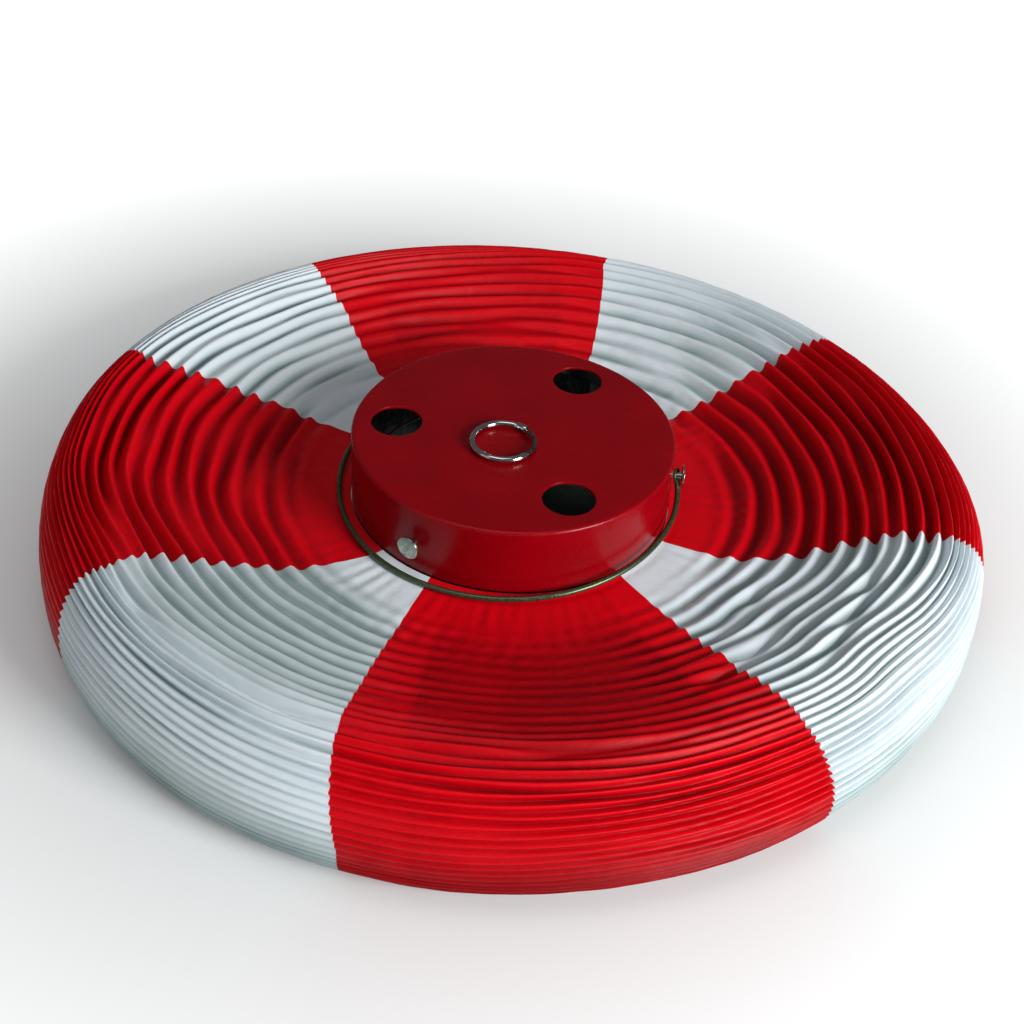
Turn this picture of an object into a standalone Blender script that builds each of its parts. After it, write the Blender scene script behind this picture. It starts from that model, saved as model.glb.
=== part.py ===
"""A folded marker ball: a pleated fabric lantern between two pressed steel caps.

Metres, +Z up. The origin is on the floor, at the centre of the lower cap's flat face.
The lantern is folded flat. It opens by the upper cap rising along Z.
"""

import math

import bmesh
import bpy
from mathutils import Matrix, Vector

# Overall sizes
BALL_RADIUS = 0.300  # over the fabric, when the ball is open
CAP_RADIUS = 0.104
CAP_HEIGHT = 0.0455
RIM_GAP = 0.0020  # between the rims of the two caps when folded
FIT_GAP = 0.0003  # between pieces that touch

# End caps, pressed from sheet
CAP_SHEET = 0.0015
CAP_EDGE_RADIUS = 0.0020
CAP_STEPS = 36
CAP_CORNER_STEPS = 3
HOLE_RADIUS = 0.0164
HOLE_PITCH_RADIUS = 0.0758
HOLE_STEPS = 32
HOLE_COUNT = 3
FIRST_HOLE_DEG = 58.1

# Band that clamps the fabric's hem against the inside of a cap's wall
HEM_CLOTH = 0.0005
HEM_BAND_THICKNESS = 0.0010
HEM_BAND_HEIGHT = 0.0300

# Studs, nuts and rivets that hold the bands, half way between the holes
STUD_DROP = 0.0242  # below the cap's flat face
STUD_HEAD_RADIUS = 0.0075
STUD_HEAD_THICKNESS = 0.0018
STUD_HEAD_CHAMFER = 0.0003
STUD_GROOVE = 0.0062  # from the cap's wall to the back of the head
STUD_NECK_RADIUS = 0.0026
SHANK_RADIUS = 0.0020
SHANK_CLEARANCE = 0.0002
SHANK_PAST_NUT = 0.0010
NUT_ACROSS_FLATS = 0.0070
NUT_THICKNESS = 0.0032
NUT_SEAT_GAP = 0.0008
RIVET_HEAD_RADIUS = 0.0040
RIVET_HEAD_TOP_RADIUS = 0.0028
RIVET_HEAD_THICKNESS = 0.0012
RIVET_TAIL_RADIUS = 0.0032
RIVET_TAIL_END_RADIUS = 0.0026
RIVET_TAIL_THICKNESS = 0.0020
SMALL_STEPS = 16
PIN_STEPS = 12

# Wire bail, hooked on two studs and lying round the upper cap
BAIL_WIRE = 0.0036
BAIL_CLEARANCE = 0.0006  # past the head of the third stud as the bail swings
BAIL_END_DROP = 0.0080
BAIL_END_LENGTH = 0.0090
BAIL_FLOOR_GAP = 0.0005  # over the cloth at its lowest point
BAIL_CENTRE_OFFSET = 0.0026
BAIL_HALF_POINTS = 30
BAIL_EVEN_SHARE = 0.6  # the rest of the spacing draws its points towards the eyes
BAIL_SWING_DEG = 87.0
EYE_WALL = 0.0021
EYE_BORE_CLEARANCE = 0.00008  # from the stud's neck to the edge of the leaning bore
EYE_THICKNESS = 0.0015
EYE_LEAN_DEG = 20.0  # from the stud's axis to the eye's own
EYE_STEPS = 20

# Fabric and its wire hoops
SEGMENT_DEG = 9.0
CLOTH_THICKNESS = 0.0012
HOOP_WIRE_RADIUS = 0.0015
HOOP_COUNT = 21
HOOP_SEGMENTS = 32
HOOP_SIDES = 4
FIRST_SEAM_DEG = -109.0
GORE_WIDTHS_DEG = (59.0, 36.0, 54.0, 35.0, 51.0, 32.0, 53.0)  # the eighth is the rest
GORE_PLACES = ("front", "front_right", "right", "back_right", "back", "back_left", "left", "front_left")
SEAM_GAP = 0.0003  # between two gores, at the hem
HEM_GAP = 0.0006
HEM_DIP_OUT = 0.0055  # the cloth dips this far out from the cap, to pass under the bail
HEM_DIP = 0.0013
# Height of the folded cloth at angles from the upper pole of the open ball
CREST_DEG = 62.0
CREST_HEIGHT = 0.0775
FLOOR_START_DEG = 116.0
FLOOR_END_DEG = 140.0
FLOOR_HEIGHT = 0.0012
DISH_DEG = 24.0

# Snap ring, lying loose on the upper cap
RING_CENTRE = (-0.0063, -0.0161)
RING_RADIUS = 0.0197
RING_WIRE = 0.0040
RING_BLOCK_RADIUS = 0.0025
RING_BLOCK_LENGTH = 0.0072
RING_PIN_DEG = 51.0
RING_LATCH_DEG = -41.5
RING_OVERRUN_DEG = 6.0  # of each wire past the latch, before the latch is cut
RING_POINTS = 24
GATE_WIRE = 0.0030
GATE_TONGUE = 0.0013
GATE_TONGUE_RADIUS = 0.0017
GATE_TONGUE_WIDTH = 0.0031
GATE_TONGUE_RELIEF = 0.000013  # a side, between the tongue's round end and its straight part
GATE_POINTS = 10
FORK_SLOT = 0.0018
FORK_DEPTH = 0.0021
PIN_RADIUS = 0.0006
PIN_CLEARANCE = 0.0001
GATE_PIN_CLEARANCE = 0.00015
LATCH_GAP = 0.0004

# Points closer than these are one
TURN_WELD = 0.00005
WIRE_WELD = 0.00002

# Worked out from the sizes above
FOLDED_HEIGHT = 2 * CAP_HEIGHT + RIM_GAP
UPPER_RIM = CAP_HEIGHT + RIM_GAP
STUD_HEIGHT = FOLDED_HEIGHT - STUD_DROP
HEM_BAND_RADIUS = CAP_RADIUS - CAP_SHEET - HEM_CLOTH
HEM_RADIUS = CAP_RADIUS + HEM_GAP
STUD_SPACING_DEG = 360.0 / HOLE_COUNT
EYE_PITCH_RADIUS = CAP_RADIUS + STUD_GROOVE / 2
EYE_CHORD_DISTANCE = -EYE_PITCH_RADIUS * math.cos(math.radians(STUD_SPACING_DEG))
EYE_LEAN = math.radians(EYE_LEAN_DEG)
WIRE_LEAN_REACH = BAIL_WIRE / 2 * math.tan(EYE_LEAN)
EYE_BORE_RADIUS = STUD_NECK_RADIUS / math.cos(EYE_LEAN) + WIRE_LEAN_REACH + EYE_BORE_CLEARANCE
HEAD_RADIUS_FROM_AXIS = CAP_RADIUS + STUD_GROOVE + STUD_HEAD_THICKNESS
FACET_SAG = BALL_RADIUS * (1 - math.cos(math.radians(SEGMENT_DEG / 2)))
HOOP_OFFSET = CLOTH_THICKNESS + FIT_GAP + HOOP_WIRE_RADIUS
LOWER_CAP_TURN = Matrix.Rotation(math.pi, 4, "X") @ Matrix.Rotation(math.pi / HOLE_COUNT, 4, "Z")

COLOURS = {
    "red_paint": ((0.42, 0.0, 0.012), 0.28, 0.0),
    "red_cloth": ((0.50, 0.005, 0.012), 0.5, 0.0),
    "white_cloth": ((0.60, 0.66, 0.70), 0.5, 0.0),
    "steel_wire": ((0.12, 0.14, 0.12), 0.4, 1.0),
    "nickel": ((0.70, 0.70, 0.68), 0.2, 1.0),
    "zinc": ((0.45, 0.47, 0.46), 0.35, 1.0),
}


def new_collection(name):
    collection = bpy.data.collections.new(name)
    bpy.context.scene.collection.children.link(collection)
    return collection


def new_material(name, colour, roughness, metallic):
    material = bpy.data.materials.new(name)
    material.use_nodes = True
    shader = material.node_tree.nodes["Principled BSDF"]
    shader.inputs["Base Color"].default_value = (*colour, 1.0)
    shader.inputs["Roughness"].default_value = roughness
    shader.inputs["Metallic"].default_value = metallic
    return material


def add_part(name, data, finish, place=None):
    """A new object in the part's collection, with its own material."""
    part = bpy.data.objects.new(name, data)
    part.matrix_world = place or Matrix()
    data.materials.clear()
    data.materials.append(new_material(name + "_" + finish, *COLOURS[finish]))
    parts.objects.link(part)
    return part


def add_cutter(name, mesh, place, collection):
    cutter = bpy.data.objects.new(name, mesh)
    cutter.matrix_world = place
    cutter.display_type = "WIRE"
    cutter.hide_render = True
    collection.objects.link(cutter)
    return cutter


def cylinder_mesh(name, radius, depth, sides=SMALL_STEPS):
    """A closed cylinder along Z, centred on the origin."""
    form = bmesh.new()
    bmesh.ops.create_cone(
        form, cap_ends=True, segments=sides, radius1=radius, radius2=radius, depth=depth
    )
    mesh = bpy.data.meshes.new(name)
    form.to_mesh(mesh)
    form.free()
    return mesh


def box_mesh(name, size):
    """A closed box centred on the origin."""
    form = bmesh.new()
    bmesh.ops.create_cube(form, size=1.0)
    bmesh.ops.scale(form, vec=size, verts=form.verts)
    mesh = bpy.data.meshes.new(name)
    form.to_mesh(mesh)
    form.free()
    return mesh


def line_mesh(name, points, closed=False):
    """A chain of edges in the XZ plane."""
    count = len(points)
    edges = [(i, i + 1) for i in range(count - 1)]
    if closed:
        edges.append((count - 1, 0))
    mesh = bpy.data.meshes.new(name)
    mesh.from_pydata([(x, 0.0, z) for x, z in points], edges, [])
    return mesh


def turn(part, steps, degrees=360.0):
    """Sweeps a profile round Z. The profile runs down its outer side."""
    screw = part.modifiers.new("turn", "SCREW")
    screw.axis = "Z"
    screw.angle = math.radians(degrees)
    screw.steps = steps
    screw.render_steps = steps
    screw.use_merge_vertices = degrees == 360.0
    screw.merge_threshold = TURN_WELD
    screw.use_smooth_shade = False
    return screw


def thicken(part, thickness):
    """Gives an open surface its thickness, on its inner side."""
    wall = part.modifiers.new("wall", "SOLIDIFY")
    wall.thickness = thickness
    wall.offset = -1.0
    wall.use_even_offset = True
    wall.use_rim = True
    return wall


def combine(part, tool, operation):
    """Boolean with one object or with a collection of them."""
    step = part.modifiers.new(operation.lower(), "BOOLEAN")
    step.operation = operation
    step.solver = "EXACT"
    if isinstance(tool, bpy.types.Collection):
        step.operand_type = "COLLECTION"
        step.collection = tool
    else:
        step.object = tool
    return step


def wire_mesh(name, points, radius):
    """A round wire along the points, as a closed mesh with its caps welded."""
    curve = bpy.data.curves.new(name, "CURVE")
    curve.dimensions = "3D"
    curve.bevel_depth = radius
    curve.bevel_resolution = 2
    curve.use_fill_caps = True
    spline = curve.splines.new("POLY")
    spline.points.add(len(points) - 1)
    for control, point in zip(spline.points, points):
        control.co = (*point, 1.0)
    guide = bpy.data.objects.new(name + "_curve", curve)
    bpy.context.scene.collection.objects.link(guide)
    bpy.context.view_layer.update()
    seen = guide.evaluated_get(bpy.context.evaluated_depsgraph_get())
    mesh = bpy.data.meshes.new_from_object(seen)
    mesh.name = name
    form = bmesh.new()
    form.from_mesh(mesh)
    bmesh.ops.remove_doubles(form, verts=form.verts, dist=WIRE_WELD)
    bmesh.ops.recalc_face_normals(form, faces=form.faces)
    form.to_mesh(mesh)
    form.free()
    bpy.data.objects.remove(guide)
    bpy.data.curves.remove(curve)
    return mesh


def direction(degrees):
    angle = math.radians(degrees)
    return Vector((math.cos(angle), math.sin(angle), 0.0))


def facing(point, normal):
    """Places an object at a point with its Z axis along a direction."""
    return Matrix.Translation(point) @ normal.to_track_quat("Z", "Y").to_matrix().to_4x4()


def stud_angles():
    return [FIRST_HOLE_DEG + STUD_SPACING_DEG * (i - 0.5) for i in range(HOLE_COUNT)]


def hole_angles():
    return [FIRST_HOLE_DEG + STUD_SPACING_DEG * i for i in range(HOLE_COUNT)]


def smooth_step(low, high, share):
    """From low to high, level at both ends."""
    share = min(1.0, max(0.0, share))
    return low + (high - low) * share * share * (3.0 - 2.0 * share)


def cap_profile():
    """The outer face of a cap, flat face up, from its centre out and down to its rim at z = 0."""
    corner = []
    for i in range(CAP_CORNER_STEPS + 1):
        angle = math.pi / 2 * (1 - i / CAP_CORNER_STEPS)
        across = CAP_RADIUS - CAP_EDGE_RADIUS + CAP_EDGE_RADIUS * math.cos(angle)
        corner.append((across, CAP_HEIGHT - CAP_EDGE_RADIUS + CAP_EDGE_RADIUS * math.sin(angle)))
    return [(0.0, CAP_HEIGHT), *corner, (CAP_RADIUS, 0.0)]


def end_cap(name, place, side):
    """A cap with its three round holes and the three shank holes in its wall."""
    cap = add_part(name, line_mesh(name, cap_profile()), "red_paint", place)
    turn(cap, CAP_STEPS)
    thicken(cap, CAP_SHEET)
    tool = cylinder_mesh(name + "_hole", HOLE_RADIUS, 6 * CAP_SHEET, HOLE_STEPS)
    for i, degrees in enumerate(hole_angles()):
        centre = direction(degrees) * HOLE_PITCH_RADIUS + Vector((0.0, 0.0, CAP_HEIGHT))
        cutter = add_cutter(f"{name}_hole_{i + 1}", tool, place @ Matrix.Translation(centre), cutters)
        combine(cap, cutter, "DIFFERENCE")
    combine(cap, side, "DIFFERENCE")
    return cap


def shank_cutters(name, place):
    """Three short cylinders through the wall, the band and the nuts."""
    group = bpy.data.collections.new(name)
    cutters.children.link(group)
    tool = cylinder_mesh(name, SHANK_RADIUS + SHANK_CLEARANCE, 4 * nut_faces()[1])
    for i, degrees in enumerate(stud_angles()):
        out = direction(degrees)
        centre = out * CAP_RADIUS + Vector((0.0, 0.0, CAP_HEIGHT - STUD_DROP))
        add_cutter(f"{name}_{i + 1}", tool, place @ facing(centre, out), group)
    return group


def hem_band(name, place, side):
    """The flat band inside a cap's rim."""
    inner = HEM_BAND_RADIUS - HEM_BAND_THICKNESS
    outline = [
        (HEM_BAND_RADIUS, HEM_BAND_HEIGHT),
        (HEM_BAND_RADIUS, FIT_GAP),
        (inner, FIT_GAP),
        (inner, HEM_BAND_HEIGHT),
    ]
    band = add_part(name, line_mesh(name, outline, closed=True), "zinc", place)
    turn(band, CAP_STEPS)
    combine(band, side, "DIFFERENCE")
    return band


def nut_faces():
    """How far from the cap's wall the nut's outer and inner faces lie, inwards."""
    outer = CAP_RADIUS - HEM_BAND_RADIUS + HEM_BAND_THICKNESS + NUT_SEAT_GAP
    return outer, outer + NUT_THICKNESS


def stud(name, degrees):
    """A headed stud on a cap's wall, its own Z axis pointing out along its shank."""
    back = STUD_GROOVE
    front = STUD_GROOVE + STUD_HEAD_THICKNESS
    end = -nut_faces()[1] - SHANK_PAST_NUT
    outline = [
        (0.0, front),
        (STUD_HEAD_RADIUS - STUD_HEAD_CHAMFER, front),
        (STUD_HEAD_RADIUS, front - STUD_HEAD_CHAMFER),
        (STUD_HEAD_RADIUS, back),
        (STUD_NECK_RADIUS, back),
        (STUD_NECK_RADIUS, FIT_GAP),
        (SHANK_RADIUS, FIT_GAP),
        (SHANK_RADIUS, end),
        (0.0, end),
    ]
    seat = direction(degrees) * CAP_RADIUS + Vector((0.0, 0.0, STUD_HEIGHT))
    piece = add_part(name, line_mesh(name, outline), "nickel", facing(seat, direction(degrees)))
    turn(piece, SMALL_STEPS)
    return piece


def nut(name, degrees, side):
    """A hexagon nut on a stud, inside the band."""
    outer, inner = nut_faces()
    radius = NUT_ACROSS_FLATS / 2 / math.cos(math.pi / 6)
    centre = direction(degrees) * (CAP_RADIUS - (outer + inner) / 2) + Vector((0.0, 0.0, STUD_HEIGHT))
    body = cylinder_mesh(name, radius, NUT_THICKNESS, 6)
    piece = add_part(name, body, "zinc", facing(centre, direction(degrees)))
    combine(piece, side, "DIFFERENCE")
    return piece


def rivet(name, degrees, place):
    """A blind rivet through the lower cap's wall and band."""
    head = FIT_GAP + RIVET_HEAD_THICKNESS
    tail = -nut_faces()[0]
    outline = [
        (0.0, head),
        (RIVET_HEAD_TOP_RADIUS, head),
        (RIVET_HEAD_RADIUS, FIT_GAP),
        (SHANK_RADIUS, FIT_GAP),
        (SHANK_RADIUS, tail),
        (RIVET_TAIL_RADIUS, tail),
        (RIVET_TAIL_END_RADIUS, tail - RIVET_TAIL_THICKNESS),
        (0.0, tail - RIVET_TAIL_THICKNESS),
    ]
    seat = direction(degrees) * CAP_RADIUS + Vector((0.0, 0.0, CAP_HEIGHT - STUD_DROP))
    piece = add_part(name, line_mesh(name, outline), "zinc", place @ facing(seat, direction(degrees)))
    turn(piece, PIN_STEPS)
    return piece


def meridian(index):
    """Degrees from the upper pole of the open ball, at hoop 0 (upper hem) to the last hem."""
    start = math.degrees(math.asin(CAP_RADIUS / BALL_RADIUS))
    return start + (180.0 - 2 * start) * index / (HOOP_COUNT + 1)


def folded_height(degrees):
    """Height of the folded cloth's outer face: a dish, a crest, the wall, then the floor."""
    dish = UPPER_RIM - HEM_GAP - HEM_DIP
    if degrees < CREST_DEG:
        return smooth_step(dish, CREST_HEIGHT, (degrees - DISH_DEG) / (CREST_DEG - DISH_DEG))
    if degrees < FLOOR_START_DEG:
        share = (degrees - CREST_DEG) / (FLOOR_START_DEG - CREST_DEG)
        return smooth_step(CREST_HEIGHT, FLOOR_HEIGHT, share)
    lift = (degrees - FLOOR_END_DEG) / (meridian(HOOP_COUNT + 1) - FLOOR_END_DEG)
    return smooth_step(FLOOR_HEIGHT, CAP_HEIGHT - HEM_GAP - CLOTH_THICKNESS, lift)


def cloth_profile():
    """The outer face of the folded cloth, from the upper hem out and round to the lower hem."""
    hoops = []
    for i in range(1, HOOP_COUNT + 1):
        degrees = meridian(i)
        hoops.append((BALL_RADIUS * math.sin(math.radians(degrees)), folded_height(degrees)))
    upper = (HEM_RADIUS, UPPER_RIM - 2 * FIT_GAP)
    dip = (HEM_RADIUS + HEM_DIP_OUT, UPPER_RIM - HEM_GAP - HEM_DIP)
    lower = (HEM_RADIUS, CAP_HEIGHT - HEM_GAP - CLOTH_THICKNESS)
    return [upper, dip, *hoops, lower]


def inward(before, here, after):
    """Unit vector into the folded cloth at a corner of its profile."""
    run = (Vector(here) - Vector(before)).normalized() + (Vector(after) - Vector(here)).normalized()
    run.normalize()
    return Vector((run.y, -run.x))


def gores():
    """Eight gores of cloth, red and white in turn, each from the upper cap's rim to the lower cap's."""
    outline = cloth_profile()
    widths = [*GORE_WIDTHS_DEG, 360.0 - sum(GORE_WIDTHS_DEG)]
    gap_deg = math.degrees(SEAM_GAP / HEM_RADIUS)
    start = FIRST_SEAM_DEG
    for i, (width, place) in enumerate(zip(widths, GORE_PLACES)):
        finish = "white_cloth" if i % 2 else "red_cloth"
        name = "gore_" + place + ("_white" if i % 2 else "_red")
        turned = Matrix.Rotation(math.radians(start + gap_deg / 2), 4, "Z")
        gore = add_part(name, line_mesh(name, outline), finish, turned)
        turn(gore, math.ceil(width / SEGMENT_DEG), width - gap_deg)
        thicken(gore, CLOTH_THICKNESS)
        start += width


def hoops():
    """Wire hoops inside the cloth, each under its own crease of the folded profile."""
    outline = cloth_profile()
    for i in range(1, HOOP_COUNT + 1):
        before, here, after = outline[i : i + 3]
        into = inward(before, here, after)
        offset = HOOP_OFFSET + FACET_SAG * abs(into.x)
        radius = here[0] + into.x * offset
        bpy.ops.mesh.primitive_torus_add(
            major_segments=HOOP_SEGMENTS,
            minor_segments=HOOP_SIDES,
            major_radius=radius,
            minor_radius=HOOP_WIRE_RADIUS,
        )
        made = bpy.context.object
        height = Matrix.Translation((0.0, 0.0, here[1] + into.y * offset))
        add_part(f"hoop_{i:02d}", made.data, "steel_wire", height)
        bpy.data.objects.remove(made)


def bail_frame():
    """The bail's apex direction, and the hinge chord's direction through its two eyes."""
    apex = direction(FIRST_HOLE_DEG + 180.0)
    chord = direction(FIRST_HOLE_DEG + 90.0)
    return apex, chord


def bail_reach():
    """Radius of the bail at its apex, so that it swings clear of the third stud's head."""
    swing = HEAD_RADIUS_FROM_AXIS + BAIL_WIRE / 2 + BAIL_CLEARANCE + EYE_CHORD_DISTANCE
    drop = STUD_HEIGHT - bail_height()
    return math.sqrt(swing**2 - drop**2) - EYE_CHORD_DISTANCE


def bail_height():
    """Height of the wire's centre at the apex, over the dip in the cloth."""
    return UPPER_RIM - HEM_GAP - HEM_DIP + BAIL_FLOOR_GAP + BAIL_WIRE / 2


def bail_points():
    """The wire's centre line: it drops from each eye, then runs round in a slightly tilted plane."""
    apex = bail_reach()
    circle = apex - BAIL_CENTRE_OFFSET
    span = STUD_SPACING_DEG - math.degrees((EYE_BORE_RADIUS - BAIL_WIRE / 4) / EYE_PITCH_RADIUS)
    reach = apex + EYE_CHORD_DISTANCE
    slope = (STUD_HEIGHT - BAIL_END_DROP - bail_height()) / reach
    points = []
    for i in range(-BAIL_HALF_POINTS, BAIL_HALF_POINTS + 1):
        share = i / BAIL_HALF_POINTS
        drawn = (1 - BAIL_EVEN_SHARE) * math.sin(share * math.pi / 2)
        angle = span * (BAIL_EVEN_SHARE * share + drawn)
        turned = math.radians(angle)
        along = math.radians(STUD_SPACING_DEG - abs(angle)) * EYE_PITCH_RADIUS
        settled = 1.0 - math.exp(-along / BAIL_END_LENGTH)
        round_radius = BAIL_CENTRE_OFFSET * math.cos(turned) + math.sqrt(
            circle**2 - (BAIL_CENTRE_OFFSET * math.sin(turned)) ** 2
        )
        radius = EYE_PITCH_RADIUS + (round_radius - EYE_PITCH_RADIUS) * settled
        from_chord = radius * math.cos(turned) + EYE_CHORD_DISTANCE
        height = STUD_HEIGHT - BAIL_END_DROP * settled - slope * from_chord
        around = direction(FIRST_HOLE_DEG + 180.0 + angle) * radius
        points.append((around.x, around.y, height))
    return points


def bail():
    """A round wire with a flattened eye at each end. Its origin is on its hinge chord."""
    apex, chord = bail_frame()
    hinge = Matrix.Translation(apex * -EYE_CHORD_DISTANCE + Vector((0.0, 0.0, STUD_HEIGHT)))
    mesh = wire_mesh("bail", bail_points(), BAIL_WIRE / 2)
    mesh.transform(hinge.inverted())
    piece = add_part("bail", mesh, "steel_wire", hinge)
    middle = math.radians(BAIL_SWING_DEG / 2)
    across = apex * -math.cos(middle) + Vector((0.0, 0.0, math.sin(middle)))
    bores = bpy.data.collections.new("bail_bores")
    cutters.children.link(bores)
    for i, side in enumerate((-1.0, 1.0)):
        out = chord * side
        normal = out * math.cos(EYE_LEAN) + across * math.sin(EYE_LEAN)
        centre = direction(FIRST_HOLE_DEG + STUD_SPACING_DEG / 2 * side) * EYE_PITCH_RADIUS
        seat = facing(centre + Vector((0.0, 0.0, STUD_HEIGHT)), normal)
        disc = cylinder_mesh("eye", EYE_BORE_RADIUS + EYE_WALL, EYE_THICKNESS, EYE_STEPS)
        combine(piece, add_cutter(f"bail_eye_{i + 1}", disc, seat, cutters), "UNION")
        bore = cylinder_mesh("eye_bore", EYE_BORE_RADIUS, 4 * BAIL_WIRE, EYE_STEPS)
        add_cutter(f"bail_bore_{i + 1}", bore, seat, bores)
    combine(piece, bores, "DIFFERENCE")
    return piece


def ring_place():
    """The snap ring lies on the upper cap, on its thickest part."""
    height = FOLDED_HEIGHT + FIT_GAP + RING_BLOCK_RADIUS
    return Vector((*RING_CENTRE, height))


def arc_points(first_deg, last_deg, count):
    step = (last_deg - first_deg) / (count - 1)
    return [tuple(direction(first_deg + step * i) * RING_RADIUS) for i in range(count)]


def latch_cutters():
    """Two boxes that share one face line, along which the gate's tip moves as it opens."""
    pin = direction(RING_PIN_DEG) * RING_RADIUS
    tip = direction(RING_LATCH_DEG) * RING_RADIUS
    along = (tip - pin).normalized()
    centre = ring_place() + tip
    size = 4 * RING_WIRE
    turned = Matrix.Rotation(math.atan2(along.y, along.x), 4, "Z")
    pair = []
    for i, side in enumerate((-1.0, 1.0)):
        shift = along * side * (size - LATCH_GAP) / 2
        tool = box_mesh("latch_box", Vector((size, 2 * RING_WIRE, 2 * RING_WIRE)))
        place = Matrix.Translation(centre + shift) @ turned
        pair.append(add_cutter(f"latch_cut_{i + 1}", tool, place, cutters))
    return pair


def snap_ring(gate_side):
    """The ring's fixed arc, with its hinge block, forked for the gate's tongue."""
    place = Matrix.Translation(ring_place())
    block_deg = math.degrees(RING_BLOCK_LENGTH / RING_RADIUS)
    block_start = RING_PIN_DEG - math.degrees(FORK_DEPTH / RING_RADIUS)
    middle = block_start + block_deg / 2
    wire = arc_points(middle, 360.0 + RING_LATCH_DEG + RING_OVERRUN_DEG, RING_POINTS)
    mesh = wire_mesh("snap_ring", wire, RING_WIRE / 2)
    ring = add_part("snap_ring", mesh, "nickel", place)
    tangent = direction(middle + 90.0)
    seat = place @ facing(direction(middle) * RING_RADIUS, tangent)
    block = cylinder_mesh("ring_block", RING_BLOCK_RADIUS, RING_BLOCK_LENGTH)
    combine(ring, add_cutter("ring_block", block, seat, cutters), "UNION")
    pin = direction(RING_PIN_DEG) * RING_RADIUS
    slot = box_mesh("fork_slot", Vector((4 * RING_BLOCK_RADIUS, 4 * FORK_DEPTH, FORK_SLOT)))
    turned = Matrix.Rotation(math.radians(RING_PIN_DEG), 4, "Z")
    fork = place @ Matrix.Translation(pin) @ turned @ Matrix.Translation((0.0, -FORK_DEPTH, 0.0))
    combine(ring, add_cutter("fork_slot", slot, fork, cutters), "DIFFERENCE")
    bore = cylinder_mesh("pin_bore", PIN_RADIUS + PIN_CLEARANCE, 4 * RING_BLOCK_RADIUS)
    combine(ring, add_cutter("ring_pin_bore", bore, place @ Matrix.Translation(pin), cutters), "DIFFERENCE")
    combine(ring, gate_side, "DIFFERENCE")
    return ring


def ring_gate(ring_side):
    """The sprung gate: an arc of thinner wire with a flat tongue. Its origin is on its pin."""
    pin = direction(RING_PIN_DEG) * RING_RADIUS
    place = Matrix.Translation(ring_place() + pin)
    clear = math.degrees((FORK_DEPTH + GATE_WIRE / 2) / RING_RADIUS)
    wire = arc_points(RING_PIN_DEG - clear, RING_LATCH_DEG - RING_OVERRUN_DEG, GATE_POINTS)
    mesh = wire_mesh("ring_gate", [tuple(Vector(p) - pin) for p in wire], GATE_WIRE / 2)
    gate = add_part("ring_gate", mesh, "steel_wire", place)
    eye = cylinder_mesh("gate_eye", GATE_TONGUE_RADIUS, GATE_TONGUE)
    combine(gate, add_cutter("gate_eye", eye, place, cutters), "UNION")
    start = Vector(wire[1]) - pin
    thickness = GATE_TONGUE - 2 * GATE_TONGUE_RELIEF
    tongue = box_mesh("gate_tongue", Vector((start.length, GATE_TONGUE_WIDTH, thickness)))
    turned = Matrix.Rotation(math.atan2(start.y, start.x), 4, "Z")
    lie = place @ turned @ Matrix.Translation((start.length / 2, 0.0, 0.0))
    combine(gate, add_cutter("gate_tongue", tongue, lie, cutters), "UNION")
    bore = cylinder_mesh("gate_bore", PIN_RADIUS + GATE_PIN_CLEARANCE, 4 * GATE_TONGUE)
    combine(gate, add_cutter("gate_bore", bore, place, cutters), "DIFFERENCE")
    combine(gate, ring_side, "DIFFERENCE")
    return gate


def gate_pin():
    """The pin through the fork and the gate's tongue."""
    pin = direction(RING_PIN_DEG) * RING_RADIUS
    length = 2 * (RING_BLOCK_RADIUS - FIT_GAP)
    body = cylinder_mesh("gate_pin", PIN_RADIUS, length, PIN_STEPS)
    return add_part("gate_pin", body, "nickel", Matrix.Translation(ring_place() + pin))


def build():
    upper = Matrix.Translation((0.0, 0.0, UPPER_RIM))
    lower = Matrix.Translation((0.0, 0.0, CAP_HEIGHT)) @ LOWER_CAP_TURN
    upper_side = shank_cutters("upper_shank", upper)
    lower_side = shank_cutters("lower_shank", lower)
    end_cap("upper_cap", upper, upper_side)
    end_cap("lower_cap", lower, lower_side)
    hem_band("upper_hem_band", upper, upper_side)
    hem_band("lower_hem_band", lower, lower_side)
    for i, degrees in enumerate(stud_angles()):
        stud(f"stud_{i + 1}", degrees)
        nut(f"stud_nut_{i + 1}", degrees, upper_side)
        rivet(f"band_rivet_{i + 1}", degrees, lower)
    gores()
    hoops()
    bail()
    gate_side, ring_side = latch_cutters()
    snap_ring(gate_side)
    ring_gate(ring_side)
    gate_pin()


for old in list(bpy.data.objects):
    bpy.data.objects.remove(old)
parts = new_collection("marker_ball")
cutters = new_collection("cutters")
build()
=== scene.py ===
import bmesh
import bpy
import numpy as np
from mathutils import Matrix


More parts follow.
